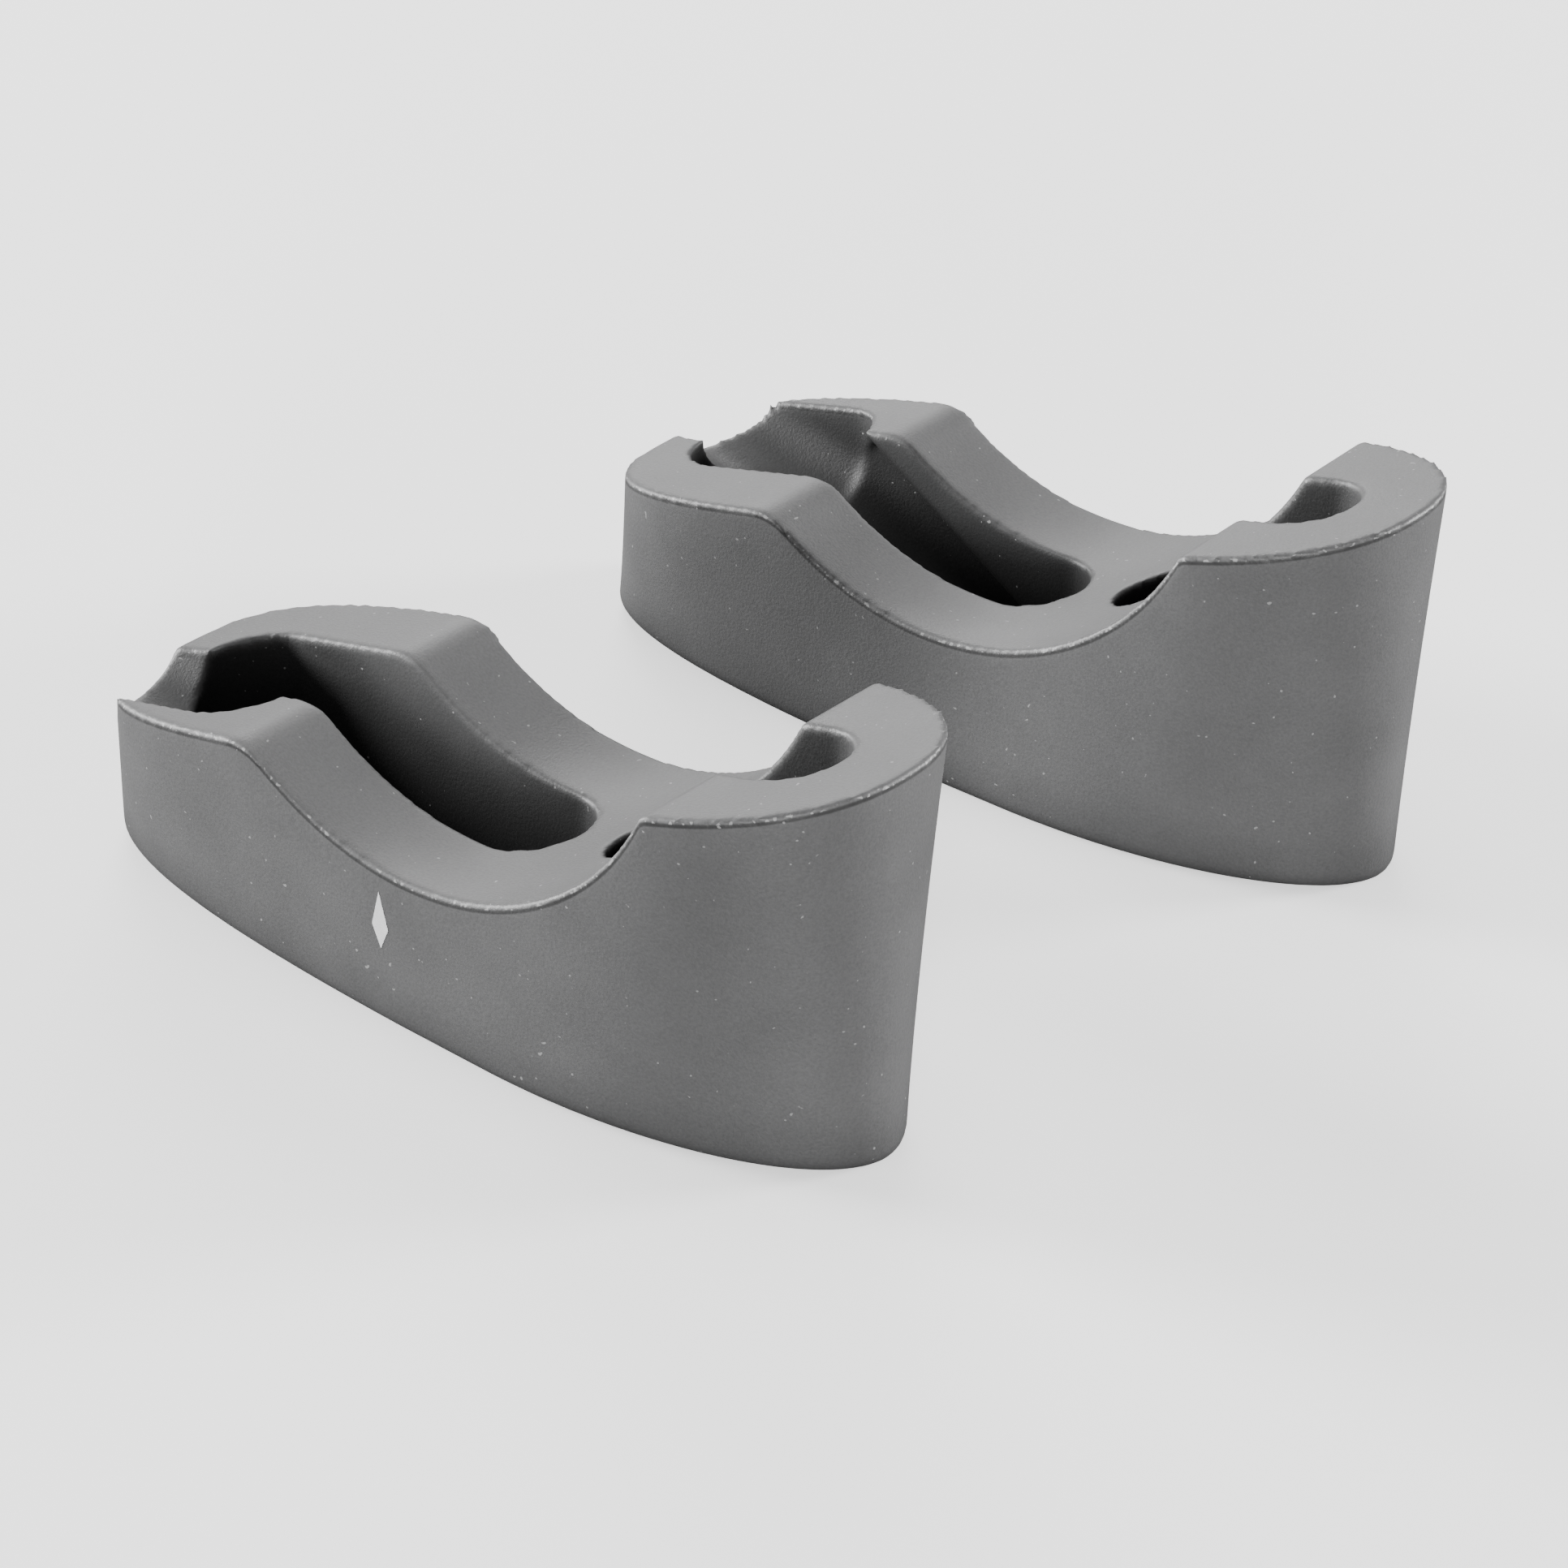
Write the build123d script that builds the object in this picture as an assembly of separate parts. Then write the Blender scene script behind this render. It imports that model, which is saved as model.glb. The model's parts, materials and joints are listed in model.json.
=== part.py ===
from build123d import *
import os
from math import cos, hypot, pi, radians, sin, sqrt

# A pair of loose blade guards, left and right. Each is one moulded wedge with a flat base. Its top
# face rises towards the tall end and is crossed by a round saddle. A long pocket and a shorter
# strap slot open into the top along the middle line, and a side channel opens the pocket through
# the low end. The right guard is the left one mirrored.
# Millimetres. X runs along a guard towards its tall end, Y from the left guard to the right one,
# Z up. The base is at Z 0.

# ---- the whole guard ----
TOP_LENGTH = 80.4             # length of the top face, along its own slope
TOP_TALL_END = 31.7          # tall end of the top face, from the reference point, along the slope
TOP_WIDTH = 27.5
TOP_RAKE = 14.0               # degrees that the top face rises towards the tall end
HEIGHT_AT_ORIGIN = 27.15       # base to top face, above the reference point
BASE_TALL_END = 30.7          # base outline before its rounding, from the reference point
BASE_LOW_END = 51.2
BASE_WIDTH = 26.1

# ---- how the two outlines curve ----
TOP_TALL_ROUND = 18.4         # length of the rounded tall end of the top outline
TOP_LOW_ROUND = 29.3
TOP_TALL_SQUARENESS = 2.27     # 2 is an ellipse, more is squarer
TOP_LOW_SQUARENESS = 3.46
BASE_TALL_ROUND = 31.0
BASE_LOW_ROUND = 50.0
BASE_TALL_SQUARENESS = 1.9
BASE_LOW_SQUARENESS = 2.6
FLARE_TALL_END = 1.45          # 1 is a straight side from base to top, more flares out late
FLARE_SIDE = 0.42             # less than 1 flares out early
BASE_ROUNDING_TALL = 1.3      # radius between side and base at the tall end
BASE_ROUNDING_SIDE = 2.1
ROUNDING_START = 22.0         # degrees between the base and the rounding where they meet

# ---- the saddle across the top ----
SADDLE_RADIUS = 27.5
SADDLE_DEPTH = 10.4
SADDLE_MIDDLE = -4.4          # middle of the saddle, along the slope
SHOULDER_ROUNDING_LOW = 4.5   # rounding where the saddle meets the top, low-end side
SHOULDER_ROUNDING_TALL = 1.3

# ---- pocket, slot and channel ----
POCKET_WIDTH = 10.3
POCKET_LOW_END = -43.5        # ends of the round-ended pocket, from the reference point
POCKET_TALL_END = -1.7
SLOT_WIDTH = 9.5
SLOT_LOW_END = 2.8
SLOT_TALL_END = 24.4
FLOOR = 3.0                   # material left under the pocket and the slot
CHANNEL_RADIUS = 5.1
CHANNEL_OFFSET = 5.1          # channel's middle plane, sideways from the guard's
CHANNEL_END = -35.8           # centre of the channel's round end, along the slope
CHANNEL_DEPTH = 3.1           # below the top face at the low end
CHANNEL_FALL = 26.5           # degrees between the channel's floor and the top face
BORE_FALL = 46.0              # degrees between the steep bore and the top face
BORE_ENTRY = -30.6            # where the bore's roof leaves the top face, along the slope

# ---- the index mark, a thin inlay in the left guard's outer side ----
MARK_HEIGHT = 5.3
MARK_WIDTH = 1.75
MARK_WAIST = 0.38             # height of the widest point, as a share of the mark's height
MARK_BACK = -12.3             # flat back of the inlay, from the middle plane
MARK_X = -10.45                # middle of the mark
MARK_Z = 7.85                  # its lowest point, above the base
MARK_FIT = 0.05               # clearance between the inlay and its recess

# ---- the pair ----
PAIR_SPACING = 58.2           # between the two middle planes
PAIR_STAGGER = 4.6            # how far the right guard stands towards the tall end
RIGHT_YAW = 2.1               # degrees that the right guard is turned

BEYOND = 60.0                 # how far cutters run past the material
OUTLINE_STEPS = 18            # points along half of an outline
ROUNDING_BANDS = 5            # bands in the rounding between base and side
SIDE_BANDS = 5                # bands up the side


def along_slope(distance, rise=0.0):
    """A point in the middle plane: distance along the top face, and rise square to it."""
    rake = radians(TOP_RAKE)
    x = distance * cos(rake) - rise * sin(rake)
    return x, HEIGHT_AT_ORIGIN + distance * sin(rake) + rise * cos(rake)


def slope_plane(side_offset=0.0):
    """The top face as a sketch plane, with its x along the slope."""
    x, z = along_slope(0)
    rake = radians(TOP_RAKE)
    return Plane(origin=(x, side_offset, z), x_dir=(cos(rake), 0, sin(rake)), z_dir=(-sin(rake), 0, cos(rake)))


def middle_plane():
    """The guard's middle plane as a sketch plane: x along the slope, y square to the top face."""
    x, z = along_slope(0)
    rake = radians(TOP_RAKE)
    return Plane(origin=(x, 0, z), x_dir=(cos(rake), 0, sin(rake)), z_dir=(0, -1, 0))


def half_width(x, tall_end, low_end, width, tall_round, low_round, tall_square, low_square):
    """Half the outline's width at x: straight in the middle, rounded towards both ends."""
    if x > tall_end - tall_round:
        into = (x - tall_end + tall_round) / tall_round
        square = tall_square
    elif x < low_end + low_round:
        into = (low_end + low_round - x) / low_round
        square = low_square
    else:
        return width / 2
    return width / 2 * max(0.0, 1 - min(into, 1.0) ** square) ** (1 / square)


def rounded_outline(tall_end, low_end, *shape):
    """Points of a long outline with two rounded ends, from the tall end anticlockwise."""
    middle = (tall_end + low_end) / 2
    reach = (tall_end - low_end) / 2
    upper = []
    for step in range(OUTLINE_STEPS + 1):
        x = middle + reach * cos(pi * step / OUTLINE_STEPS)
        upper.append((x, half_width(x, tall_end, low_end, *shape)))
    lower = [(x, -y) for x, y in upper[-2:0:-1]]
    return upper + lower


def top_outline():
    flat = rounded_outline(
        TOP_TALL_END,
        TOP_TALL_END - TOP_LENGTH,
        TOP_WIDTH,
        TOP_TALL_ROUND,
        TOP_LOW_ROUND,
        TOP_TALL_SQUARENESS,
        TOP_LOW_SQUARENESS,
    )
    return [(along_slope(distance)[0], y, along_slope(distance)[1]) for distance, y in flat]


def base_outline():
    return rounded_outline(
        BASE_TALL_END,
        -BASE_LOW_END,
        BASE_WIDTH,
        BASE_TALL_ROUND,
        BASE_LOW_ROUND,
        BASE_TALL_SQUARENESS,
        BASE_LOW_SQUARENESS,
    )


def shares_round(points):
    """For each point, 0 at the tall end, 1 at the low end, easing between them."""
    xs = [p[0] for p in points]
    low, tall = min(xs), max(xs)
    return [0.5 - 0.5 * cos(pi * (tall - x) / (tall - low)) for x in xs]


def inset_directions(points):
    count = len(points)
    directions = []
    for i in range(count):
        ax, ay = points[i - 1]
        bx, by = points[(i + 1) % count]
        length = hypot(bx - ax, by - ay)
        directions.append((-(by - ay) / length, (bx - ax) / length))
    return directions


def side_section(share, rounding_turn=90.0):
    """One closed section of the side at a share of its height, or in the base rounding."""
    base = base_outline()
    top = top_outline()
    shares = shares_round(base)
    inward = inset_directions(base)
    points = []
    for (bx, by), (tx, ty, tz), low, (nx, ny) in zip(base, top, shares, inward):
        radius = BASE_ROUNDING_SIDE + (BASE_ROUNDING_TALL - BASE_ROUNDING_SIDE) * max(0.0, 1 - 2 * low) ** 2
        flare = FLARE_SIDE + (FLARE_TALL_END - FLARE_SIDE) * max(0.0, 1 - 2 * low)
        turn = radians(rounding_turn)
        round_top = radius * cos(radians(ROUNDING_START))
        z = round_top - radius * cos(turn) if share is None else round_top + (tz - round_top) * share
        inset = radius * (1 - sin(turn)) if share is None else 0.0
        blend = (z / tz) ** flare
        points.append((bx + (tx - bx) * blend + nx * inset, by + (ty - by) * blend + ny * inset, z))
    half = len(points) // 2
    crosswise = (0, 1, 0)
    back = (0, -1, 0)
    places = spacing(top)
    upper = Edge.make_spline(points[: half + 1], tangents=[crosswise, back], parameters=places)
    returning = [1 - place for place in places[::-1]]
    lower = Edge.make_spline(points[half:] + points[:1], tangents=[back, crosswise], parameters=returning)
    return Wire([upper, lower])


def spacing(outline):
    """Where each point of half an outline comes along it, from 0 to 1, the same for every section."""
    half = outline[: len(outline) // 2 + 1]
    steps = [hypot(bx - ax, by - ay) for (ax, ay, _), (bx, by, _) in zip(half, half[1:])]
    along = [0.0]
    for step in steps:
        along.append(along[-1] + step)
    return [place / along[-1] for place in along]


def body_block():
    """The wedge before anything is cut into it."""
    turns = [ROUNDING_START + (90 - ROUNDING_START) * step / ROUNDING_BANDS for step in range(ROUNDING_BANDS)]
    sections = [side_section(None, turn) for turn in turns]
    sections += [side_section(step / SIDE_BANDS) for step in range(SIDE_BANDS + 1)]
    return Solid.make_loft(sections, ruled=True)


def saddle_cutter():
    """Everything above the saddle, with both shoulders rounded into the top face."""
    centre_y = SADDLE_RADIUS - SADDLE_DEPTH
    outline = []
    for side, rounding in ((-1, SHOULDER_ROUNDING_LOW), (1, SHOULDER_ROUNDING_TALL)):
        reach = SADDLE_RADIUS + rounding
        across = sqrt(reach**2 - (centre_y + rounding) ** 2)
        shoulder_x = SADDLE_MIDDLE + side * across
        touch_x = SADDLE_MIDDLE + side * across * SADDLE_RADIUS / reach
        touch_y = centre_y - (centre_y + rounding) * SADDLE_RADIUS / reach
        middle_x = (shoulder_x + touch_x) / 2 - shoulder_x
        middle_y = (0 + touch_y) / 2 + rounding
        length = hypot(middle_x, middle_y)
        over = (shoulder_x + middle_x * rounding / length, middle_y * rounding / length - rounding)
        outline.append(((shoulder_x, 0), over, (touch_x, touch_y)))
    (low_start, low_over, low_touch), (tall_start, tall_over, tall_touch) = outline
    edges = [
        ThreePointArc(low_start, low_over, low_touch),
        ThreePointArc(low_touch, (SADDLE_MIDDLE, -SADDLE_DEPTH), tall_touch),
        ThreePointArc(tall_touch, tall_over, tall_start),
        Polyline([tall_start, (tall_start[0], BEYOND), (low_start[0], BEYOND), low_start]),
    ]
    face = make_face(edges)
    return extrude(middle_plane() * face, BEYOND, both=True)


def above_floor():
    """The space that a pocket may be cut from: everything above the floor."""
    return Pos(0, 0, FLOOR) * Box(4 * BEYOND, 4 * BEYOND, 4 * BEYOND, align=(Align.CENTER, Align.CENTER, Align.MIN))


def round_ended_cutter(low_end, tall_end, width):
    """A round-ended slot with upright walls, down to the floor."""
    middle = (low_end + tall_end) / 2
    return extrude(Pos(middle, 0, FLOOR) * SlotOverall(tall_end - low_end, width), BEYOND)


def channel_cutter():
    """The side channel: a round floor that falls towards the pocket, and straight walls above it."""
    fall = radians(CHANNEL_FALL)
    low_end = TOP_TALL_END - TOP_LENGTH
    axis_rise = CHANNEL_RADIUS / cos(fall) - CHANNEL_DEPTH
    start = (low_end - CHANNEL_RADIUS, axis_rise + CHANNEL_RADIUS * sin(fall) / cos(fall))
    end = (CHANNEL_END, axis_rise - (CHANNEL_END - low_end) * sin(fall) / cos(fall))
    length = hypot(end[0] - start[0], end[1] - start[1])
    plane = middle_plane().offset(CHANNEL_OFFSET)
    walls = extrude(
        plane * make_face(Polyline([start, end, (end[0], BEYOND), (start[0], BEYOND), start])),
        CHANNEL_RADIUS,
        both=True,
    )
    start_point = plane.from_local_coords(Vector(*start))
    end_point = plane.from_local_coords(Vector(*end))
    floor = Solid.make_cylinder(CHANNEL_RADIUS, length, Plane(start_point, z_dir=end_point - start_point))
    upright = Solid.make_cylinder(CHANNEL_RADIUS, BEYOND, Plane(end_point, z_dir=slope_plane().z_dir))
    return walls + floor + upright + Pos(end_point) * Sphere(CHANNEL_RADIUS)


def bore_cutter():
    """The steep bore that carries the channel down under the pocket's wall to the floor."""
    fall = radians(BORE_FALL)
    forward = (cos(fall), -sin(fall))
    entry = (BORE_ENTRY - CHANNEL_RADIUS * sin(fall), -CHANNEL_RADIUS * cos(fall))
    plane = middle_plane().offset(CHANNEL_OFFSET)
    start_point = plane.from_local_coords(Vector(entry[0], entry[1]))
    down_point = plane.from_local_coords(Vector(entry[0] + forward[0], entry[1] + forward[1]))
    direction = down_point - start_point
    return Solid.make_cylinder(CHANNEL_RADIUS, BEYOND, Plane(start_point, z_dir=direction)) & above_floor()


def guard():
    """The left guard on its own middle plane, with the channel on its -Y side."""
    body = body_block() - saddle_cutter()
    body -= round_ended_cutter(POCKET_LOW_END, POCKET_TALL_END, POCKET_WIDTH)
    body -= round_ended_cutter(SLOT_LOW_END, SLOT_TALL_END, SLOT_WIDTH)
    body -= channel_cutter()
    body -= bore_cutter()
    return body


def kite_column(extra):
    """A kite-shaped column out through the outer side, grown all round by extra."""
    half = MARK_WIDTH / 2 + extra
    low = MARK_Z - 2 * extra
    high = MARK_Z + MARK_HEIGHT + 4 * extra
    waist = MARK_Z + MARK_HEIGHT * MARK_WAIST
    corners = [(0, low), (half, waist), (0, high), (-half, waist), (0, low)]
    back = Plane(origin=(MARK_X, MARK_BACK, 0), x_dir=(1, 0, 0), z_dir=(0, -1, 0))
    return extrude(back * make_face(Polyline(corners)), BEYOND)


def build():
    """The pair, standing on Z 0 and centred on the Z axis."""
    plain = guard()
    recess = kite_column(MARK_FIT)
    inlay = kite_column(0) & plain
    right_place = Pos(PAIR_STAGGER, PAIR_SPACING, 0) * Rot(0, 0, RIGHT_YAW)
    right = right_place * mirror(plain, Plane.XZ)
    boxes = [shape.bounding_box() for shape in (plain, right)]
    middle_x = (min(box.min.X for box in boxes) + max(box.max.X for box in boxes)) / 2
    middle_y = (min(box.min.Y for box in boxes) + max(box.max.Y for box in boxes)) / 2
    centred = Pos(-middle_x, -middle_y, 0)
    return {
        "left_guard": centred * (plain - recess),
        "right_guard": centred * right,
        "index_mark": centred * inlay,
    }


def main():
    os.makedirs("parts", exist_ok=True)
    for name, shape in build().items():
        export_step(shape, f"parts/{name}.step")


main()
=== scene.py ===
import json
from math import atan2, cos, pi, radians, sin, sqrt

import bpy
from mathutils import Matrix, Vector

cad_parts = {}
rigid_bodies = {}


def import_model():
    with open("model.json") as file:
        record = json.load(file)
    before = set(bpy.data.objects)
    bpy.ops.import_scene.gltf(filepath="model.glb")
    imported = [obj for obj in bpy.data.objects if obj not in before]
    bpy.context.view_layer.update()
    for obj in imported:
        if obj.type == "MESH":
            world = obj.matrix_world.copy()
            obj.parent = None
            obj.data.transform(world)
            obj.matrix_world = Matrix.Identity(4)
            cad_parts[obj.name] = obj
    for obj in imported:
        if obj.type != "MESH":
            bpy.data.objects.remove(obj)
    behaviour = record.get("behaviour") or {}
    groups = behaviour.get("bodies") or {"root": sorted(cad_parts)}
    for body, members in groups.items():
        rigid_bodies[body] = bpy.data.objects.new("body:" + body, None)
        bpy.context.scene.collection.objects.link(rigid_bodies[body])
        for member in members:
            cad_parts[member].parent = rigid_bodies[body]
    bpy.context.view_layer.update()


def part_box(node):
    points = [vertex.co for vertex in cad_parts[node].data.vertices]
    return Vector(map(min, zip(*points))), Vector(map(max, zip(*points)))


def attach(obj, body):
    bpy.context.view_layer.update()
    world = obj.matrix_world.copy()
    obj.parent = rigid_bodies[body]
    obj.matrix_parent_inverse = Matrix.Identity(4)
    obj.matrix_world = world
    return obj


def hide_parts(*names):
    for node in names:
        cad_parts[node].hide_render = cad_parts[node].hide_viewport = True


# A pair of moulded blade guards, a left and a right one. One guard is modelled in millimetres on
# its own middle plane, with X towards its tall end, and then each copy goes to its place in metres.

MM = 0.001

# ---- the wedge ----
TOP_LENGTH = 80.4
TOP_TALL_END = 31.7
TOP_WIDTH = 27.5
TOP_RAKE = radians(14.0)
HEIGHT_AT_ORIGIN = 27.15
BASE_TALL_END = 30.7
BASE_LOW_END = 51.2
BASE_WIDTH = 26.1
TOP_TALL_ROUND = 18.4
TOP_LOW_ROUND = 29.3
TOP_TALL_SQUARENESS = 2.27
TOP_LOW_SQUARENESS = 3.46
BASE_TALL_ROUND = 31.0
BASE_LOW_ROUND = 50.0
BASE_TALL_SQUARENESS = 1.9
BASE_LOW_SQUARENESS = 2.6
FLARE_TALL_END = 1.45
FLARE_SIDE = 0.42
BASE_ROUNDING_TALL = 1.3
BASE_ROUNDING_SIDE = 2.1
ROUNDING_START = 22.0
RING_POINTS = 256
ROUNDING_RINGS = 6
SIDE_RINGS = 16
OVER_TOP = 0.08             # how far the side is drawn past the top face, as a share of its height

# ---- the saddle ----
SADDLE_RADIUS = 27.5
SADDLE_DEPTH = 10.4
SADDLE_MIDDLE = -4.4
SHOULDER_LOW = 4.5
SHOULDER_TALL = 1.3
PROFILE_COLUMNS = 480

# ---- pocket, slot and channel ----
POCKET_WIDTH = 10.3
POCKET_LOW_END = -43.5
POCKET_TALL_END = -1.7
SLOT_WIDTH = 9.5
SLOT_LOW_END = 2.8
SLOT_TALL_END = 24.4
FLOOR = 3.0
CHANNEL_RADIUS = 5.1
CHANNEL_OFFSET = 5.1
CHANNEL_END = -35.8
CHANNEL_DEPTH = 3.1
CHANNEL_FALL = radians(26.5)
BORE_FALL = radians(46.0)
BORE_ENTRY = -30.6
ROUND_SIDES = 96            # straight sides of each round cutter
BALL_SEGMENTS = 64
BALL_RINGS = 32

# ---- the index mark ----
MARK_HEIGHT = 5.3
MARK_WIDTH = 1.75
MARK_WAIST = 0.38
MARK_X = -10.45
MARK_Z = 7.85
MARK_PROUD = 0.03
MARK_THICKNESS = 0.6
MARK_COLUMNS = 8
MARK_ROWS = 24
MARK_MERGE = 0.001

# ---- the pair ----
PAIR_SPACING = 58.2
PAIR_STAGGER = 4.6
RIGHT_YAW = radians(2.1)

# ---- skin ----
BEYOND = 60.0               # reach of the cutters past the guard
SKIN_STEP = 0.36
RIM_SMOOTHING = 0.5
RIM_PASSES = 3

# ---- what counts as the outer side, for the painted rim shade and the pale rim flecks ----
OUTER_SHARE = 0.65          # of half the guard's width
PAST_SLOT = 2.0
PAST_POCKET = 3.0

# ---- shell finish ----
# Tones are linear and noise scales are per metre. Rim fleck and painted rim shade depths are
# millimetres below the top skin. Heights, reaches and the painted base shade band are in metres.
SHELL_DARK = 0.06
SHELL_LIGHT = 0.15
GRAIN_SCALE = 4000.0
CLOUD_SCALE = 120.0
SPECK_SCALE = 2400.0
GRAIN_SHARE = 0.6
CLOUD_SHARE = 0.3
SPECK_EDGES = (0.83, 0.86)
SPECK_STRENGTH = 0.5
# Pale flecks along the outer rim, just below the top skin; they share the speck noise.
RIM_FLECK_EDGES = (0.62, 0.7)
RIM_FLECK_DEPTH = 0.3
RIM_FLECK_BAND = (0.08, 0.16)
RIM_FLECK_STRENGTH = 0.55
PALE_TONE = (0.42, 0.42, 0.42, 1)
# Painted shade: ambient occlusion takes the base colour towards a near-black tone in the hollows.
HOLLOW_REACH = 0.018
HOLLOW_SAMPLES = 12
HOLLOW_SHADE_DARKNESS = 2.3
HOLLOW_SHADE_TONE = (0.004, 0.004, 0.004, 1)
# Painted shade: a dark line just under the top rim on the outer side.
RIM_SHADE_DEPTH = 0.55
RIM_SHADE_BAND = (0.06, 0.28)
RIM_SHADE_DARKNESS = 0.7
# Painted shade: the base colour darker towards the bottom.
BASE_SHADE_BAND = (-0.002, 0.007)
BASE_SHADE_DARKNESS = 0.45
RELIEF_STRENGTH = 0.55
RELIEF_HEIGHT = 0.00006
SHELL_ROUGHNESS = 0.45
CLOUD_ROUGHNESS = 0.15
COOL = 1.01                 # blue over red and green in every grey

# ---- mark finish ----
MARK_DARK = 0.62
MARK_LIGHT = 0.74
MARK_GRAIN_SCALE = 2600.0
MARK_ROUGHNESS = 0.6

# ---- floor, sky and lamps: lengths in metres, powers in watts ----
STAGE_SIZE = 6
STAGE_TONE = (0.92, 0.92, 0.92, 1)
STAGE_ROUGHNESS = 0.9
STAGE_GLOW = 0.9
SKY = 0.4
SKY_EDGE = (-0.12, 0.02)
SOFTBOXES = (
    ("behind", (-0.85, 0.8, 0.62), 0.8, 11.0),
    ("overhead", (-0.2, 0.1, 1.2), 0.5, 3.0),
    ("front", (0.75, -0.95, 0.16), 0.3, 18.5),
    ("low_end_side", (-1.1, -0.4, 0.22), 0.4, 36.0),
    ("tall_end_side", (0.65, 0.9, 0.2), 0.35, 24.0),
)

# ---- camera: place in the left guard's own millimetres ----
CAMERA_PLACE = (218.5, -237.35, 217.05)
CAMERA_RIGHT = (0.7574, 0.6526, 0.0208)
CAMERA_FORWARD = (-0.550, 0.6547, -0.5185)
CAMERA_LENS = 111.5
CAMERA_SENSOR = 36
CAMERA_NEAR = 0.01


# ------------------------------------------------------------------ small helpers
def pick(*objects):
    """Select just these objects, the last one active."""
    for other in bpy.context.view_layer.objects:
        other.select_set(False)
    for thing in objects:
        thing.select_set(True)
    bpy.context.view_layer.objects.active = objects[-1]


def edit(thing):
    """Edit a piece's mesh, with all of it selected."""
    pick(thing)
    bpy.ops.object.mode_set(mode="EDIT")
    bpy.ops.mesh.select_all(action="SELECT")


def done():
    """Leave the edit and give back the piece."""
    bpy.ops.object.mode_set(mode="OBJECT")
    return bpy.context.object


def settle(thing, matrix):
    """Move a piece by a matrix and keep that in its mesh."""
    pick(thing)
    thing.matrix_world = matrix @ thing.matrix_world
    bpy.ops.object.transform_apply(location=True, rotation=True, scale=True)


def face_outwards():
    """In an edit, turn every face of the piece outwards."""
    bpy.ops.mesh.select_all(action="SELECT")
    bpy.ops.mesh.normals_make_consistent(inside=False)


def draw_out(offset):
    """In an edit, extrude what is selected by an offset."""
    bpy.ops.mesh.extrude_region_move(TRANSFORM_OT_translate={"value": offset})


def apply_modifier(thing, kind, **settings):
    pick(thing)
    modifier = thing.modifiers.new(kind.lower(), kind)
    for name, value in settings.items():
        setattr(modifier, name, value)
    bpy.ops.object.modifier_apply(modifier=modifier.name)


def cut(body, cutter):
    apply_modifier(body, "BOOLEAN", operation="DIFFERENCE", object=cutter, solver="EXACT")
    bpy.data.objects.remove(cutter)


def slope_matrix():
    """From the top face's own frame, x along it and z square to it, to the standing guard."""
    return Matrix.Translation((0, 0, HEIGHT_AT_ORIGIN)) @ Matrix.Rotation(-TOP_RAKE, 4, "Y")


# ------------------------------------------------------------------ the wedge
def half_width(x, tall_end, low_end, width, tall_round, low_round, tall_square, low_square):
    """Half the outline's width at x: straight in the middle, rounded towards both ends."""
    if x > tall_end - tall_round:
        into, square = (x - tall_end + tall_round) / tall_round, tall_square
    elif x < low_end + low_round:
        into, square = (low_end + low_round - x) / low_round, low_square
    else:
        return width / 2
    return width / 2 * max(0.0, 1 - min(into, 1.0) ** square) ** (1 / square)


def top_point(around):
    """A point of the top outline, around from -pi to pi, 0 at the tall end."""
    along = TOP_TALL_END - TOP_LENGTH * (0.5 - 0.5 * cos(around))
    y = half_width(
        along,
        TOP_TALL_END,
        TOP_TALL_END - TOP_LENGTH,
        TOP_WIDTH,
        TOP_TALL_ROUND,
        TOP_LOW_ROUND,
        TOP_TALL_SQUARENESS,
        TOP_LOW_SQUARENESS,
    )
    side = 1 if around >= 0 else -1
    return Vector((along * cos(TOP_RAKE), side * y, HEIGHT_AT_ORIGIN + along * sin(TOP_RAKE)))


def base_point(around):
    """A point of the base outline, around as for the top."""
    length = BASE_TALL_END + BASE_LOW_END
    x = BASE_TALL_END - length * (0.5 - 0.5 * cos(around))
    y = half_width(
        x,
        BASE_TALL_END,
        -BASE_LOW_END,
        BASE_WIDTH,
        BASE_TALL_ROUND,
        BASE_LOW_ROUND,
        BASE_TALL_SQUARENESS,
        BASE_LOW_SQUARENESS,
    )
    side = 1 if around >= 0 else -1
    return Vector((x, side * y, 0))


def inward(around):
    """The way into the base outline, square to it."""
    step = 2 * pi / RING_POINTS
    ahead, behind = around + step, around - step
    ahead = ahead - 2 * pi if ahead > pi else ahead
    behind = behind + 2 * pi if behind < -pi else behind
    run = base_point(ahead) - base_point(behind)
    return Vector((-run.y, run.x, 0)).normalized()


def side_point(around, ring):
    """Where the prism's vertex goes: the first rings are the rounding above the base."""
    base = base_point(around)
    top = top_point(around)
    low = 0.5 - 0.5 * cos(around)
    tall = max(0.0, 1 - 2 * low)
    radius = BASE_ROUNDING_SIDE + (BASE_ROUNDING_TALL - BASE_ROUNDING_SIDE) * tall**2
    round_top = radius * cos(radians(ROUNDING_START))
    if ring < ROUNDING_RINGS:
        turn = radians(ROUNDING_START + (90 - ROUNDING_START) * ring / ROUNDING_RINGS)
        z = round_top - radius * cos(turn)
        inset = radius * (1 - sin(turn))
    else:
        share = (ring - ROUNDING_RINGS) / SIDE_RINGS * (1 + OVER_TOP)
        z = round_top + (top.z - round_top) * share
        inset = 0.0
    flare = FLARE_SIDE + (FLARE_TALL_END - FLARE_SIDE) * tall
    blend = (z / top.z) ** flare
    place = base.lerp(top, min(blend, 1.0)) + inward(around) * inset
    return Vector((place.x, place.y, z))


def wedge():
    """A many-sided prism with a ring at each whole height, whose points then go to their places."""
    bpy.ops.mesh.primitive_circle_add(vertices=RING_POINTS, radius=10, fill_type="NGON")
    edit(bpy.context.object)
    for _ in range(ROUNDING_RINGS + SIDE_RINGS):
        draw_out((0, 0, 1))
    face_outwards()
    block = done()
    for vertex in block.data.vertices:
        around = atan2(vertex.co.y, vertex.co.x)
        vertex.co = side_point(around, round(vertex.co.z))
    return block


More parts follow.
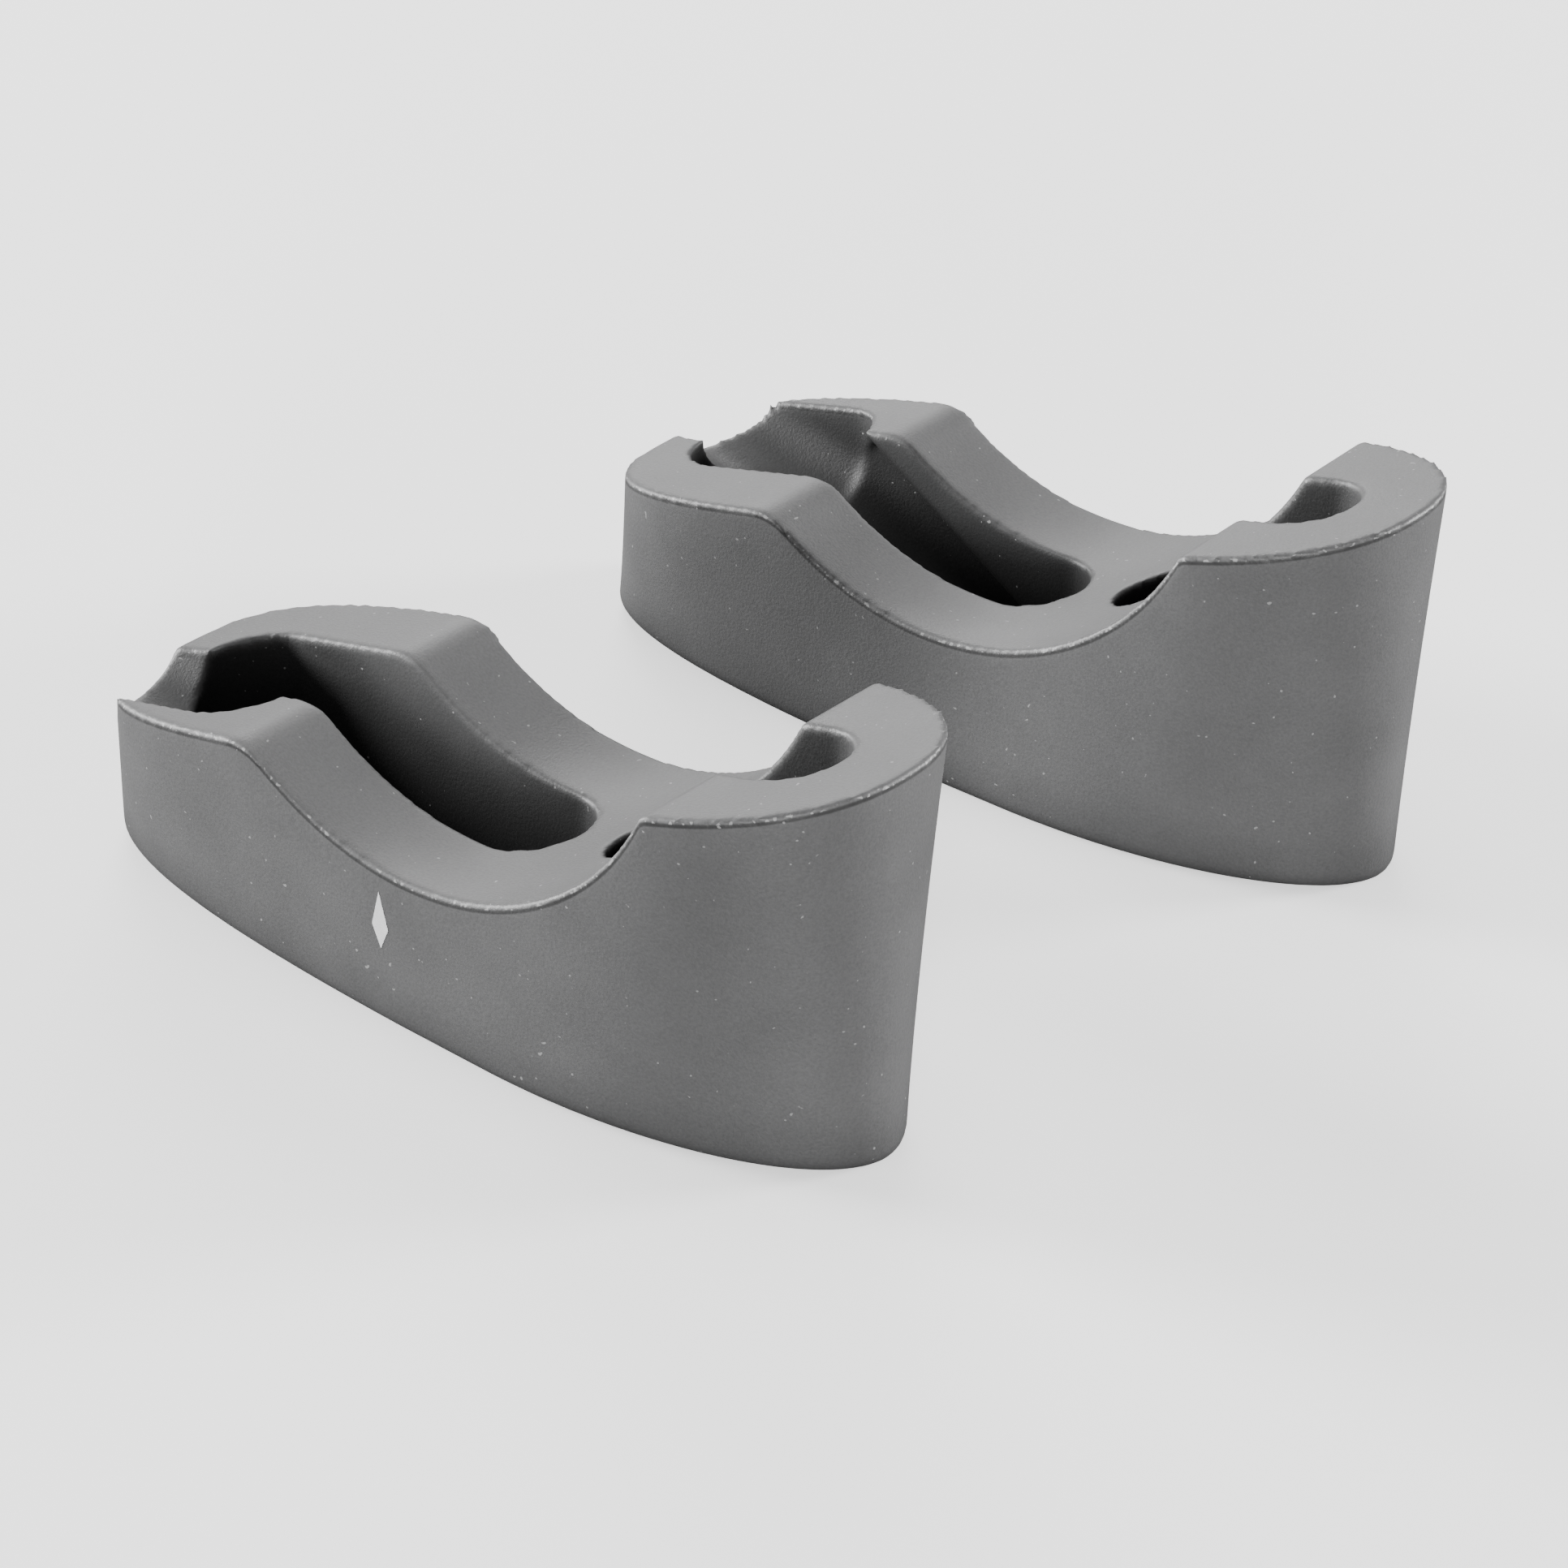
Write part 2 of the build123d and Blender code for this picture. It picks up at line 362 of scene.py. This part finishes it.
# ------------------------------------------------------------------ what is cut into it
def saddle_height(x):
    """Height of the top profile at x, both in the top face's frame."""
    centre = SADDLE_RADIUS - SADDLE_DEPTH
    rounding = SHOULDER_LOW if x < SADDLE_MIDDLE else SHOULDER_TALL
    reach = sqrt((SADDLE_RADIUS + rounding) ** 2 - (centre + rounding) ** 2)
    off = abs(x - SADDLE_MIDDLE)
    if off >= reach:
        return 0.0
    if off > reach * SADDLE_RADIUS / (SADDLE_RADIUS + rounding):
        return sqrt(rounding**2 - (reach - off) ** 2) - rounding
    return centre - sqrt(SADDLE_RADIUS**2 - off**2)


def over_top():
    """Everything above the top face and the saddle: a sheet with a shaped lower edge, made thick."""
    bpy.ops.mesh.primitive_grid_add(x_subdivisions=PROFILE_COLUMNS, y_subdivisions=1, size=2 * BEYOND)
    edit(bpy.context.object)
    bpy.ops.transform.rotate(value=-pi / 2, orient_axis="X", center_override=(0, 0, 0))
    sheet = done()
    for vertex in sheet.data.vertices:
        x = vertex.co.x
        z = BEYOND / 2 if vertex.co.z > 0 else saddle_height(x)
        vertex.co = (x, -BEYOND / 2, z)
    edit(sheet)
    draw_out((0, BEYOND, 0))
    face_outwards()
    done()
    settle(sheet, slope_matrix())
    return sheet


def clear_below_floor(cutter):
    """End a cutter at the floor that the pocket and the slot leave."""
    edit(cutter)
    bpy.ops.mesh.bisect(plane_co=(0, 0, FLOOR), plane_no=(0, 0, 1), use_fill=True, clear_inner=True)
    face_outwards()
    return done()


def round_ended(low_end, tall_end, width):
    """A round-ended upright cutter: a disc pulled long and extruded."""
    bpy.ops.mesh.primitive_circle_add(
        vertices=ROUND_SIDES, radius=width / 2, fill_type="NGON", rotation=(0, 0, pi / ROUND_SIDES)
    )
    edit(bpy.context.object)
    draw_out((0, 0, 2 * BEYOND))
    cutter = done()
    pick(cutter)
    bpy.ops.object.transform_apply(location=True, rotation=True, scale=True)
    for vertex in cutter.data.vertices:
        end = tall_end - width / 2 if vertex.co.x > 0 else low_end + width / 2
        vertex.co = (vertex.co.x + end, vertex.co.y, vertex.co.z + FLOOR)
    return cutter


def rod(start, end, radius):
    """A round rod between two points of the top face's frame."""
    a, b = Vector(start), Vector(end)
    bpy.ops.mesh.primitive_cylinder_add(vertices=ROUND_SIDES, radius=radius, depth=(b - a).length)
    thing = bpy.context.object
    turn = (b - a).to_track_quat("Z", "X").to_matrix().to_4x4()
    settle(thing, slope_matrix() @ Matrix.Translation((a + b) / 2) @ turn)
    return thing


def channel_pieces():
    """The side channel: a round floor that falls towards the pocket, straight walls above it."""
    low_end = TOP_TALL_END - TOP_LENGTH
    rise = CHANNEL_RADIUS / cos(CHANNEL_FALL) - CHANNEL_DEPTH
    slope = sin(CHANNEL_FALL) / cos(CHANNEL_FALL)
    y = -CHANNEL_OFFSET
    start = Vector((low_end - CHANNEL_RADIUS, y, rise + CHANNEL_RADIUS * slope))
    end = Vector((CHANNEL_END, y, rise - (CHANNEL_END - low_end) * slope))
    floor = rod(start, end, CHANNEL_RADIUS)
    upright = rod(end, end + Vector((0, 0, BEYOND)), CHANNEL_RADIUS)
    bpy.ops.mesh.primitive_uv_sphere_add(
        segments=BALL_SEGMENTS, ring_count=BALL_RINGS, radius=CHANNEL_RADIUS
    )
    ball = bpy.context.object
    settle(ball, slope_matrix() @ Matrix.Translation(end))
    bpy.ops.mesh.primitive_cube_add(size=2)
    walls = bpy.context.object
    for vertex in walls.data.vertices:
        foot = end if vertex.co.x > 0 else start
        side = CHANNEL_RADIUS if vertex.co.y > 0 else -CHANNEL_RADIUS
        vertex.co = (foot.x, y + side, BEYOND / 2 if vertex.co.z > 0 else foot.z)
    settle(walls, slope_matrix())
    return [floor, upright, ball, walls]


def bore():
    """The steep bore that takes the channel down to the floor."""
    x = BORE_ENTRY - CHANNEL_RADIUS * sin(BORE_FALL)
    start = Vector((x, -CHANNEL_OFFSET, -CHANNEL_RADIUS * cos(BORE_FALL)))
    forward = Vector((cos(BORE_FALL), 0, -sin(BORE_FALL)))
    return clear_below_floor(rod(start, start + forward * BEYOND, CHANNEL_RADIUS))


def guard():
    """One guard, with its channel on the -Y side, in millimetres."""
    body = wedge()
    cut(body, over_top())
    cut(body, round_ended(POCKET_LOW_END, POCKET_TALL_END, POCKET_WIDTH))
    cut(body, round_ended(SLOT_LOW_END, SLOT_TALL_END, SLOT_WIDTH))
    for piece in channel_pieces():
        cut(body, piece)
    cut(body, bore())
    apply_modifier(body, "REMESH", mode="VOXEL", voxel_size=SKIN_STEP, adaptivity=0.0)
    apply_modifier(body, "SMOOTH", factor=RIM_SMOOTHING, iterations=RIM_PASSES)
    pick(body)
    bpy.ops.object.shade_smooth()
    mark_depths(body)
    return body


def mark_depths(body):
    """Keep at each vertex how far it lies below the top skin, and whether it is on the outer side."""
    depth = body.data.attributes.new("below_top", "FLOAT", "POINT")
    outer = body.data.attributes.new("outer_side", "FLOAT", "POINT")
    to_slope = slope_matrix().inverted()
    for index, vertex in enumerate(body.data.vertices):
        place = to_slope @ vertex.co
        depth.data[index].value = saddle_height(place.x) - place.z
        beyond_cuts = place.x > SLOT_TALL_END + PAST_SLOT or place.x < POCKET_LOW_END - PAST_POCKET
        at_side = abs(place.y) > OUTER_SHARE * TOP_WIDTH / 2
        outer.data[index].value = 1.0 if at_side or beyond_cuts else 0.0


# ------------------------------------------------------------------ placing the pair
def place_in_row():
    """Matrices from one guard's own millimetres to the row's metres, left and right."""
    low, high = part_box("left_guard")
    scale = Matrix.Scale(MM, 4)
    tall_tip = top_point(0).x
    left = Matrix.Translation((high[0] - tall_tip * MM, (low[1] + high[1]) / 2, 0))
    turned = Matrix.Rotation(RIGHT_YAW, 4, "Z") @ Matrix.Scale(-1, 4, (0, 1, 0))
    right = left @ Matrix.Translation((PAIR_STAGGER * MM, PAIR_SPACING * MM, 0)) @ turned
    return left @ scale, right @ scale


def mirror_copy(thing, name):
    twin = thing.copy()
    twin.data = thing.data.copy()
    twin.name = name
    bpy.context.collection.objects.link(twin)
    return twin


def put_in_place(thing, matrix, flipped=False):
    """Move a piece to its place in the pair; a mirroring matrix turns its faces, so turn them back."""
    settle(thing, matrix)
    if flipped:
        edit(thing)
        face_outwards()
        done()


def kite(body):
    """The index mark: a kite-shaped inlay that follows the side it lies in."""
    bpy.ops.mesh.primitive_grid_add(x_subdivisions=MARK_COLUMNS, y_subdivisions=MARK_ROWS, size=2)
    edit(bpy.context.object)
    bpy.ops.transform.rotate(value=-pi / 2, orient_axis="X", center_override=(0, 0, 0))
    mark = done()
    for vertex in mark.data.vertices:
        share = (vertex.co.z + 1) / 2
        waist = share / MARK_WAIST if share < MARK_WAIST else (1 - share) / (1 - MARK_WAIST)
        x = MARK_X + vertex.co.x * waist * MARK_WIDTH / 2
        vertex.co = (x, -TOP_WIDTH, MARK_Z + share * MARK_HEIGHT)
    edit(mark)
    bpy.ops.mesh.remove_doubles(threshold=MARK_MERGE)
    done()
    apply_modifier(
        mark,
        "SHRINKWRAP",
        target=body,
        wrap_method="PROJECT",
        use_project_y=True,
        use_positive_direction=True,
        use_negative_direction=False,
        offset=MARK_PROUD,
    )
    inwards = -1 if mark.data.polygons[0].normal.y < 0 else 1
    apply_modifier(mark, "SOLIDIFY", thickness=MARK_THICKNESS, offset=inwards)
    return mark


# ------------------------------------------------------------------ materials
class Value:
    """A shader socket that can be used in an expression."""

    def __init__(self, maker, socket):
        self.maker = maker
        self.socket = socket

    def math(self, operation, *others):
        return self.maker.node("ShaderNodeMath", {"operation": operation}, [self, *others])

    def __add__(self, other):
        return self.math("ADD", other)

    __radd__ = __add__

    def __mul__(self, other):
        return self.math("MULTIPLY", other)

    __rmul__ = __mul__

    def __sub__(self, other):
        return self.math("SUBTRACT", other)

    def __rsub__(self, other):
        return self.maker.node("ShaderNodeMath", {"operation": "SUBTRACT"}, [other, self])

    def __pow__(self, other):
        return self.math("POWER", other)

    def __abs__(self):
        return self.math("ABSOLUTE")


class Finish:
    """Builds one material's nodes."""

    def __init__(self, name):
        self.material = bpy.data.materials.new(name)
        self.material.use_nodes = True
        self.tree = self.material.node_tree
        self.surface = self.tree.nodes["Principled BSDF"]

    def connect(self, given, socket):
        if isinstance(given, Value):
            self.tree.links.new(given.socket, socket)
        else:
            socket.default_value = given

    def node(self, kind, settings=None, inputs=(), output=0):
        made = self.tree.nodes.new(kind)
        for name, value in (settings or {}).items():
            if name == "stops":
                self.set_stops(made, value)
            else:
                setattr(made, name, value)
        pairs = inputs.items() if isinstance(inputs, dict) else enumerate(inputs)
        for name, given in pairs:
            self.connect(given, made.inputs[name])
        return Value(self, made.outputs[output])

    @staticmethod
    def set_stops(ramp, stops):
        elements = ramp.color_ramp.elements
        while len(elements) < len(stops):
            elements.new(0.5)
        for element, (position, level) in zip(elements, stops):
            element.position = position
            element.color = (level, level, level, 1)

    def set(self, **inputs):
        for name, given in inputs.items():
            self.connect(given, self.surface.inputs[name.replace("_", " ")])


def smooth_between(finish, value, edges):
    """0 below the first edge, 1 above the second, eased between."""
    return finish.node(
        "ShaderNodeMapRange",
        {"interpolation_type": "SMOOTHSTEP", "clamp": True},
        {"Value": value, "From Min": edges[0], "From Max": edges[1], "To Min": 0.0, "To Max": 1.0},
    )


def tint(finish, factor, tone, other):
    """From one colour to another by a factor."""
    inputs = {"Factor": factor, 6: tone, 7: other}
    return finish.node("ShaderNodeMix", {"data_type": "RGBA"}, inputs, output=2)


def grey_mix(finish, factor, dark, light):
    """From one grey to another by a factor."""
    return tint(finish, factor, (dark, dark, dark * COOL, 1), (light, light, light * COOL, 1))


def noise(finish, place, scale, **settings):
    return finish.node("ShaderNodeTexNoise", {}, {"Vector": place, "Scale": scale, **settings})


def near_depth(finish, depth, middle, band):
    """1 close to a depth below the top skin, 0 away from it."""
    return 1 - smooth_between(finish, abs(depth - middle), band)


def blasted_shell(name):
    """Dark grey moulding with a fine blasted grain, a few pale specks and pale flecks on its outer
    rim, and painted shade in its hollows, under the rim and near the base.
    """
    finish = Finish(name)
    place = finish.node("ShaderNodeTexCoord", output="Object")
    grain = noise(finish, place, GRAIN_SCALE, Detail=2.0, Roughness=0.6)
    cloud = noise(finish, place, CLOUD_SCALE, Detail=3.0)
    speck = noise(finish, place, SPECK_SCALE, Detail=0.0)
    speckle = smooth_between(finish, speck, SPECK_EDGES)
    tone = grey_mix(finish, GRAIN_SHARE * grain + CLOUD_SHARE * cloud, SHELL_DARK, SHELL_LIGHT)
    depth = finish.node("ShaderNodeAttribute", {"attribute_name": "below_top"}, output=2)
    outer = finish.node("ShaderNodeAttribute", {"attribute_name": "outer_side"}, output=2)
    height = finish.node("ShaderNodeSeparateXYZ", {}, [place], output=2)
    # Painted shade in the hollows: ambient occlusion darkens the base colour where the surface is
    # closed in.
    open_air = finish.node(
        "ShaderNodeAmbientOcclusion",
        {"samples": HOLLOW_SAMPLES, "only_local": True},
        {"Distance": HOLLOW_REACH},
        output=1,
    )
    # Painted shade: a dark line just under the top rim on the outer side.
    painted_rim_shade = RIM_SHADE_DARKNESS * (outer * near_depth(finish, depth, RIM_SHADE_DEPTH, RIM_SHADE_BAND))
    # Painted shade: the base colour darker towards the bottom of the guard.
    painted_base_shade = BASE_SHADE_DARKNESS * (1 - smooth_between(finish, height, BASE_SHADE_BAND))
    shade = (open_air**HOLLOW_SHADE_DARKNESS) * (1 - painted_rim_shade) * (1 - painted_base_shade)
    # All three painted shades take the base colour towards a near-black tone.
    tone = tint(finish, 1 - shade, tone, HOLLOW_SHADE_TONE)
    # Pale flecks along the outer rim, just below the top skin.
    rim_flecks = smooth_between(finish, speck, RIM_FLECK_EDGES) * outer
    rim_flecks = rim_flecks * near_depth(finish, depth, RIM_FLECK_DEPTH, RIM_FLECK_BAND)
    tone = tint(finish, SPECK_STRENGTH * speckle + RIM_FLECK_STRENGTH * rim_flecks, tone, PALE_TONE)
    relief = finish.node(
        "ShaderNodeBump", {}, {"Strength": RELIEF_STRENGTH, "Distance": RELIEF_HEIGHT, "Height": grain}
    )
    finish.set(Base_Color=tone, Roughness=SHELL_ROUGHNESS + CLOUD_ROUGHNESS * cloud, Normal=relief)
    return finish.material


def mark_finish(name):
    """A pale, matt, faintly uneven grey."""
    finish = Finish(name)
    place = finish.node("ShaderNodeTexCoord", output="Object")
    grain = noise(finish, place, MARK_GRAIN_SCALE, Detail=1.0)
    finish.set(Base_Color=grey_mix(finish, grain, MARK_DARK, MARK_LIGHT), Roughness=MARK_ROUGHNESS)
    return finish.material


# ------------------------------------------------------------------ floor, light and camera
def stage_floor():
    """A pale floor that is lit but throws no light back up, so the sides stay darker than the tops."""
    bpy.ops.mesh.primitive_plane_add(size=STAGE_SIZE)
    floor = bpy.context.object
    floor.name = "floor"
    finish = Finish("pale_floor")
    finish.set(
        Base_Color=STAGE_TONE,
        Roughness=STAGE_ROUGHNESS,
        Emission_Color=(1, 1, 1, 1),
        Emission_Strength=STAGE_GLOW,
    )
    floor.data.materials.append(finish.material)
    floor.visible_diffuse = False
    floor.visible_glossy = False


def sky(strength):
    """An even pale sky above the floor and nothing below it."""
    world = bpy.data.worlds.new("studio")
    bpy.context.scene.world = world
    world.use_nodes = True
    tree = world.node_tree
    direction = tree.nodes.new("ShaderNodeTexCoord")
    split = tree.nodes.new("ShaderNodeSeparateXYZ")
    tree.links.new(direction.outputs["Generated"], split.inputs[0])
    rise = tree.nodes.new("ShaderNodeMapRange")
    rise.interpolation_type = "SMOOTHSTEP"
    rise.inputs["From Min"].default_value = SKY_EDGE[0]
    rise.inputs["From Max"].default_value = SKY_EDGE[1]
    rise.inputs["To Max"].default_value = strength
    tree.links.new(split.outputs["Z"], rise.inputs["Value"])
    tree.links.new(rise.outputs["Result"], tree.nodes["Background"].inputs["Strength"])
    tree.nodes["Background"].inputs["Color"].default_value = (1, 1, 1, 1)


def soft_lights():
    """The sky and round area lamps, each turned to the middle of the stage."""
    sky(SKY)
    for name, place, size, power in SOFTBOXES:
        bpy.ops.object.light_add(type="AREA", location=place)
        lamp = bpy.context.object
        lamp.name = name
        lamp.data.shape = "DISK"
        lamp.data.size = size
        lamp.data.energy = power
        lamp.rotation_euler = (-Vector(place)).to_track_quat("-Z", "Y").to_euler()


def camera(left):
    """A long lens that looks down on the pair from beyond the left guard's tall end."""
    right = Vector(CAMERA_RIGHT).normalized()
    forward = Vector(CAMERA_FORWARD).normalized()
    up = right.cross(forward)
    right = forward.cross(up)
    turn = Matrix((right, up, -forward)).transposed().to_4x4()
    bpy.ops.object.camera_add()
    view = bpy.context.object
    view.matrix_world = Matrix.Translation(left @ Vector(CAMERA_PLACE)) @ turn
    view.data.lens = CAMERA_LENS
    view.data.sensor_width = CAMERA_SENSOR
    view.data.clip_start = CAMERA_NEAR
    bpy.context.scene.camera = view


def build():
    left_place, right_place = place_in_row()
    left = guard()
    left.name = "left_shell"
    mark = kite(left)
    mark.name = "index_kite"
    right = mirror_copy(left, "right_shell")
    put_in_place(left, left_place)
    put_in_place(mark, left_place)
    put_in_place(right, right_place, flipped=True)
    for piece, body, node, slot, material in (
        (left, "left", "left_guard", "shell", blasted_shell("left_blasted_shell")),
        (right, "right", "right_guard", "shell", blasted_shell("right_blasted_shell")),
        (mark, "left", "index_mark", "mark", mark_finish("light_mark")),
    ):
        piece.data.materials.clear()
        piece.data.materials.append(material)
        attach(piece, body)
        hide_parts(node)
    stage_floor()
    soft_lights()
    camera(left_place)


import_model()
build()
